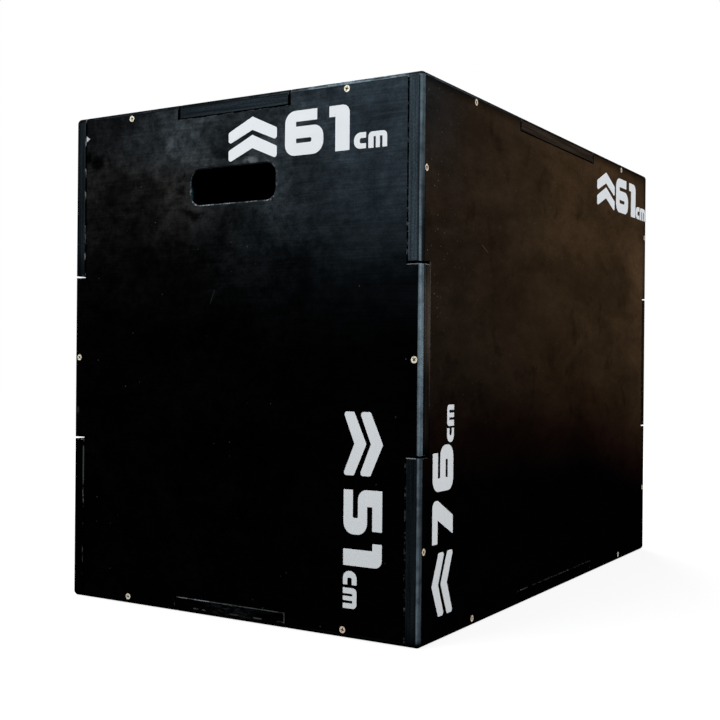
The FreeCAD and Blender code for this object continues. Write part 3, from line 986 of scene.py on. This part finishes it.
def wind_thread(start, size, low, high):
    """A ridge that winds round the core from one height to another."""
    spiral = start.node("GeometryNodeCurveSpiral", {
        "Resolution": THREAD_STEPS, "Rotations": float(THREAD_TURNS), "Start Radius": size["Thread radius"],
        "End Radius": size["Thread radius"], "Height": high - low})
    ridge = start.node("GeometryNodeCurvePrimitiveCircle", {"Resolution": THREAD_SIDES, "Radius": 1.0})
    thread = start.node("GeometryNodeCurveToMesh", {
        "Curve": spiral, "Profile Curve": ridge, "Fill Caps": True, "Scale": size["Thread size"]})
    moved = {"Geometry": thread, "Translation": start.vector(Z=low)}
    return start.node("GeometryNodeTransform", moved)


def make_screw(start, size):
    """One screw, which points down from the origin."""
    top = 0 - size["Head sink"]
    neck = top - size["Head cone"]
    end = top - size["Length"]
    step = neck - size["Smooth length"]
    head = size["Head radius"]
    profile = [
        (TIP_RADIUS, end),
        (size["Core radius"], end + size["Tip length"]),
        (size["Core radius"], step),
        (size["Shank radius"], step + size["Rim break"]),
        (size["Shank radius"], neck),
        (head, top - size["Rim break"]),
        (head - size["Rim break"], top),
    ]
    body = cut_recess(start, size, top, lathe(start, profile, SCREW_SIDES))
    thread = wind_thread(start, size, end + size["Tip length"], step)
    return start.node("GeometryNodeJoinGeometry", {"Geometry": [body, thread]})


def make_screw_tree():
    """A tree that puts a screw, turned by chance, on each of its places."""
    tree = bpy.data.node_groups.new("wood_screws", "GeometryNodeTree")
    tree.interface.new_socket("Places", in_out="INPUT", socket_type="NodeSocketGeometry")
    for name, value in SCREW_MM.items():
        tree.interface.new_socket(name, in_out="INPUT", socket_type="NodeSocketFloat").default_value = value
    for name, kind in (("Facing", "Vector"), ("Seed", "Int"), ("Finish", "Material")):
        tree.interface.new_socket(name, in_out="INPUT", socket_type=f"NodeSocket{kind}")
    tree.interface.new_socket("Screws", in_out="OUTPUT", socket_type="NodeSocketGeometry")
    start = Wire(tree)
    given = tree.nodes.new("NodeGroupInput")
    size = {socket.name: Wire(tree, socket) for socket in given.outputs if socket.name}

    aim = start.node("FunctionNodeAlignRotationToVector", {"Vector": size["Facing"]}, {"axis": "Z"})
    chance = start.node("FunctionNodeRandomValue", {"Min": 0.0, "Max": math.pi / 2, "Seed": size["Seed"]},
                        {"data_type": "FLOAT"})
    spin = start.node("FunctionNodeAxisAngleToRotation", {"Axis": (0, 0, 1), "Angle": chance})
    turn = start.node("FunctionNodeRotateRotation", {"Rotation": aim, "Rotate By": spin},
                      {"rotation_space": "LOCAL"})
    copies = start.node("GeometryNodeInstanceOnPoints", {
        "Points": size["Places"], "Instance": make_screw(start, size), "Rotation": turn,
        "Scale": (MM, MM, MM)})
    whole = start.node("GeometryNodeRealizeInstances", {"Geometry": copies})
    whole = start.node("GeometryNodeSetMaterial", {"Geometry": whole, "Material": size["Finish"]})
    start.node("NodeGroupOutput", {"Screws": whole})
    return tree


screw_tree = make_screw_tree()
print("screw tree with", len(screw_tree.nodes), "nodes")

# %% Screws in every panel
BOARD = 0.018
CAP_WIDTH = 0.160
CAP_LENGTH = 0.256
SCREW_PLACES = {
    # kind of board: the places in one quarter of it, measured from its middle
    END: [((HALF_WIDTH - BOARD + CAP_WIDTH / 2) / 2, HALF_HEIGHT - BOARD / 2), (HALF_WIDTH - BOARD / 2, 0)],
    SIDE: [((HALF_LENGTH + CAP_LENGTH / 2) / 2, HALF_HEIGHT - BOARD / 2),
           (HALF_LENGTH - BOARD / 2, (HALF_HEIGHT + END_FINGER / 2) / 2)],
    CAP: [(0, HALF_LENGTH - BOARD / 2), (HALF_WIDTH - BOARD / 2, 0)],
}
SCREW_SETS = {
    # node: kind of board, and the side of the box that it is on
    "front_panel_screws": (END, -1),
    "rear_panel_screws": (END, 1),
    "right_side_screws": (SIDE, 1),
    "left_side_screws": (SIDE, -1),
    "top_panel_screws": (CAP, 1),
    "bottom_panel_screws": (CAP, -1),
}
AXES = Matrix.Identity(3)


def apply_tree(piece, tree, values):
    """Give a piece a node tree with these inputs, and swap its mesh for what the tree makes."""
    modifier = piece.modifiers.new(tree.name, "NODES")
    modifier.node_group = tree
    for item in tree.interface.items_tree:
        if item.in_out == "INPUT" and item.name in values:
            modifier[item.identifier] = values[item.name]
    shown = piece.evaluated_get(bpy.context.evaluated_depsgraph_get())
    made = bpy.data.meshes.new_from_object(shown)
    piece.modifiers.remove(modifier)
    piece.data = made


def make_screws(node, seed, kind, side):
    """All the screws of one board, in place of their solids."""
    facing = AXES[kind] * side
    across, along = (AXES[axis] for axis in range(3) if axis != kind)
    face = Vector((0, 0, HALF_HEIGHT)) + facing * HALF_BOX[kind]
    spots = []
    for right, up in SCREW_PLACES[kind]:
        for sign_right in (1, -1) if right else (1,):
            for sign_up in (1, -1) if up else (1,):
                spots.append(face + across * right * sign_right + along * up * sign_up)
    piece = make_mesh(f"{node}_zinc", spots, [], zinc)
    apply_tree(piece, screw_tree, {"Facing": facing, "Seed": seed, "Finish": zinc})
    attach(piece, "root")
    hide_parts(node)
    return piece


for seed, (node, values) in enumerate(SCREW_SETS.items()):
    piece = make_screws(node, seed, *values)
    print(piece.name, len(piece.data.polygons), "faces")

# %% [markdown]
# ## Painted height marks
# Two faces carry the heights of the box: a double chevron that points up, a plain block number and
# the unit, in white stencil paint. A filled flat curve takes outlines with holes, so every sign is
# drawn as corners with a rounding at each, made a mesh as thin as paint, and laid on its face.

# %% Outlines of the signs
SIGNS = {
    # sign: its width, then its outlines as corners with a rounding, in millimetres
    "6": (52.0, [
        [(43.6, 50.4, 0.6), (0, 50.4, 14), (0, 0, 13), (52.0, 0, 14), (52.0, 32.4, 13), (15.0, 32.4, 0.6),
         (15.0, 37.9, 0.6), (43.6, 37.9, 0.6)],
        [(15.2, 13.8, 0.4), (36.0, 13.8, 2), (36.0, 19.0, 2), (15.2, 19.0, 0.4)],
    ]),
    "1": (26.6, [
        [(0, 50.4, 0.6), (0, 38.2, 0.6), (8.1, 38.2, 0.6), (8.1, 0, 0.6), (26.6, 0, 0.6), (26.6, 50.4, 9)],
    ]),
    "5": (49.0, [
        [(44.2, 50.4, 0.6), (0, 50.4, 0.6), (0, 19.0, 11), (31.0, 19.0, 1.5), (31.0, 12.2, 2),
         (0.6, 12.2, 0.6), (0.6, 0, 0.6), (49.0, 0, 13), (49.0, 31.0, 13), (18.0, 31.0, 0.6),
         (18.0, 37.8, 0.6), (44.2, 37.8, 0.6)],
    ]),
    "7": (46.8, [
        [(0, 50.4, 0.6), (0, 37.6, 0.6), (25.6, 37.6, 0.6), (7.2, 0, 0.6), (27.8, 0, 0.6), (46.8, 37.6, 5),
         (46.8, 50.4, 8)],
    ]),
    "c": (15.4, [
        [(15.4, 17.6, 0.4), (0, 17.6, 8.3), (0, 0, 8), (15.4, 0, 0.4), (15.4, 5.6, 0.4), (7.4, 5.6, 2),
         (7.4, 11.4, 2), (15.4, 11.4, 0.4)],
    ]),
    "m": (23.5, [
        [(0, 0, 0.4), (0, 17.6, 5), (23.5, 17.6, 5), (23.5, 0, 0.4), (17.7, 0, 0.4), (17.7, 12.3, 0.4),
         (14.5, 12.3, 0.4), (14.5, 0, 0.4), (9.4, 0, 0.4), (9.4, 12.3, 0.4), (6.6, 12.3, 0.4), (6.6, 0, 0.4)],
    ]),
    "chevrons": (69.5, [
        [(0, 34.6, 2.4), (0, 20.8, 3.2), (34.75, 35.1, 0.8), (69.5, 20.6, 3.2), (69.5, 34.6, 2.4),
         (34.75, 50.4, 1.6)],
        [(0, 13.6, 2.4), (0, -0.4, 3.2), (34.75, 14.1, 0.8), (69.5, -0.6, 3.2), (69.5, 13.6, 2.4),
         (34.75, 29.4, 1.6)],
    ]),
}
ARC_STEPS = 7


def rounded(corners):
    """Points round an outline, with an arc in place of each corner."""
    points = []
    for k, (x, y, radius) in enumerate(corners):
        corner = Vector((x, y))
        before = (Vector(corners[k - 1][:2]) - corner).normalized()
        after = (Vector(corners[(k + 1) % len(corners)][:2]) - corner).normalized()
        half_angle = before.angle(after) / 2
        reach = radius / math.tan(half_angle)
        middle = corner + (before + after).normalized() * radius / math.sin(half_angle)
        first = corner + before * reach - middle
        turn = first.angle_signed(corner + after * reach - middle)
        for step in range(ARC_STEPS + 1):
            points.append(middle + Matrix.Rotation(-turn * step / ARC_STEPS, 2) @ first)
    return points


print("signs", list(SIGNS))

# %% Finish of the marks
WHITE_DULL = (0.76, 0.79, 0.815)
WHITE_CLEAN = (0.83, 0.855, 0.875)
WORN_WHITE = (0.3, 0.3, 0.31)
WHITE_CLOUDS = (30.0, None, 4.0, 0.6)
WHITE_GRAIN = (900.0, None, 2.0)
WEAR_SPECKS = (160.0, 0.12, 0.06)
WEAR_SHARE = 0.3
WHITE_RELIEF, WHITE_DEPTH = 0.15, 0.0002
WHITE_ROUGHNESS, GRAIN_ROUGHNESS = 0.55, 0.2
WHITE_SHINE = 0.25


def make_white():
    """White stencil paint with faint clouds, a grain and a few worn specks."""
    finish, start = start_finish("white_stencil_paint")
    place = start.node("ShaderNodeTexCoord", output="Object")
    grain = pattern(place, *WHITE_GRAIN)
    x, y, z = place.parts()
    wear = specks(start.vector(X=x + y, Y=z), *WEAR_SPECKS) * WEAR_SHARE
    white = pattern(place, *WHITE_CLOUDS).mixed(WHITE_DULL, WHITE_CLEAN)
    bump = start.node("ShaderNodeBump", {
        "Strength": WHITE_RELIEF, "Distance": WHITE_DEPTH, "Height": grain})
    end_finish(start, {
        "Base Color": wear.mixed(white, WORN_WHITE),
        "Roughness": WHITE_ROUGHNESS + GRAIN_ROUGHNESS * grain,
        "Specular IOR Level": WHITE_SHINE,
        "Normal": bump,
    })
    return finish


white_paint = make_white()
print("finish", white_paint.name)

# %% Lay the marks on the two faces
PAINT_DEPTH = 0.00016
MERGE_REACH = 0.00001
MARK_GROUPS = {
    # group: its origin, the directions it reads and points in, and its signs, each with its start
    # along the line, its width there, its base and its share of height
    "front_mark_61": ((0.0, -HALF_LENGTH, 0.5334), (1, 0, 0), (0, 0, 1), [
        ("chevrons", -5.2, 69.5, 0.0, 1.0), ("6", 75.8, 52.0, 0.0, 1.0), ("1", 135.6, 26.6, 0.0, 1.0),
        ("c", 168.0, 15.4, 0.0, 1.0), ("m", 186.4, 23.5, -0.3, 1.0)]),
    "front_mark_51": ((0.158, -HALF_LENGTH, 0.248), (0, 0, -1), (1, 0, 0), [
        ("chevrons", 0.0, 69.4, -0.2, 1.0), ("5", 84.4, 49.0, 0.7, 0.972), ("1", 141.8, 25.9, 0.7, 0.972),
        ("c", 173.8, 14.9, 0.6, 1.0), ("m", 192.2, 22.4, 0.6, 1.0)]),
    "right_mark_76": ((HALF_WIDTH, -0.3052, 0.027), (0, 0, 1), (0, -1, 0), [
        ("chevrons", 0.0, 69.0, 0.0, 0.98), ("7", 79.1, 46.8, 0.9, 0.95), ("6", 135.4, 50.2, 0.9, 0.95),
        ("c", 187.8, 15.4, 0.0, 0.92), ("m", 205.6, 23.4, 0.0, 0.92)]),
    "right_mark_61": ((HALF_WIDTH, 0.0, 0.5355), (0, 1, 0), (0, 0, 1), [
        ("chevrons", 147.0, 76.5, -1.6, 1.055), ("6", 230.0, 57.0, -0.4, 1.03),
        ("1", 291.5, 32.0, -0.6, 1.03), ("c", 325.0, 19.0, -0.6, 1.1), ("m", 346.0, 27.0, -0.6, 1.1)]),
}


def close_mesh(mesh):
    """Merge the doubled points along the rim of a filled curve, and keep that edge crisp."""
    shell = bmesh.new()
    shell.from_mesh(mesh)
    bmesh.ops.remove_doubles(shell, verts=shell.verts[:], dist=MERGE_REACH)
    for face in shell.faces:
        face.smooth = False
    shell.to_mesh(mesh)
    shell.free()


def lay_marks(name, origin, reading, pointing, signs):
    """One flat curve for a whole group of signs, made a mesh and laid on its face."""
    curve = bpy.data.curves.new(name, "CURVE")
    curve.dimensions = "2D"
    curve.fill_mode = "BOTH"
    curve.extrude = PAINT_DEPTH / 2
    for sign, begin, width, base, tall in signs:
        own_width, outlines = SIGNS[sign]
        for outline in outlines:
            points = rounded(outline)
            spline = curve.splines.new("POLY")
            spline.points.add(len(points) - 1)
            for point, (x, y) in zip(spline.points, points):
                point.co = ((begin + x * width / own_width) * MM, (base + y * tall) * MM, 0, 1)
            spline.use_cyclic_u = True
    draft = add_object(f"{name}_draft", curve)
    mesh = bpy.data.meshes.new_from_object(draft.evaluated_get(bpy.context.evaluated_depsgraph_get()))
    bpy.data.objects.remove(draft)
    outward = Vector(reading).cross(Vector(pointing))
    turn = Matrix((reading, pointing, outward)).transposed().to_4x4()
    close_mesh(mesh)
    mesh.transform(Matrix.Translation(Vector(origin) + outward * PAINT_DEPTH / 2) @ turn)
    mesh.materials.clear()
    mesh.materials.append(white_paint)
    piece = add_object(name, mesh)
    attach(piece, "root")
    return piece


for name, values in MARK_GROUPS.items():
    piece = lay_marks(name, *values)
    print(piece.name, len(piece.data.polygons), "faces")
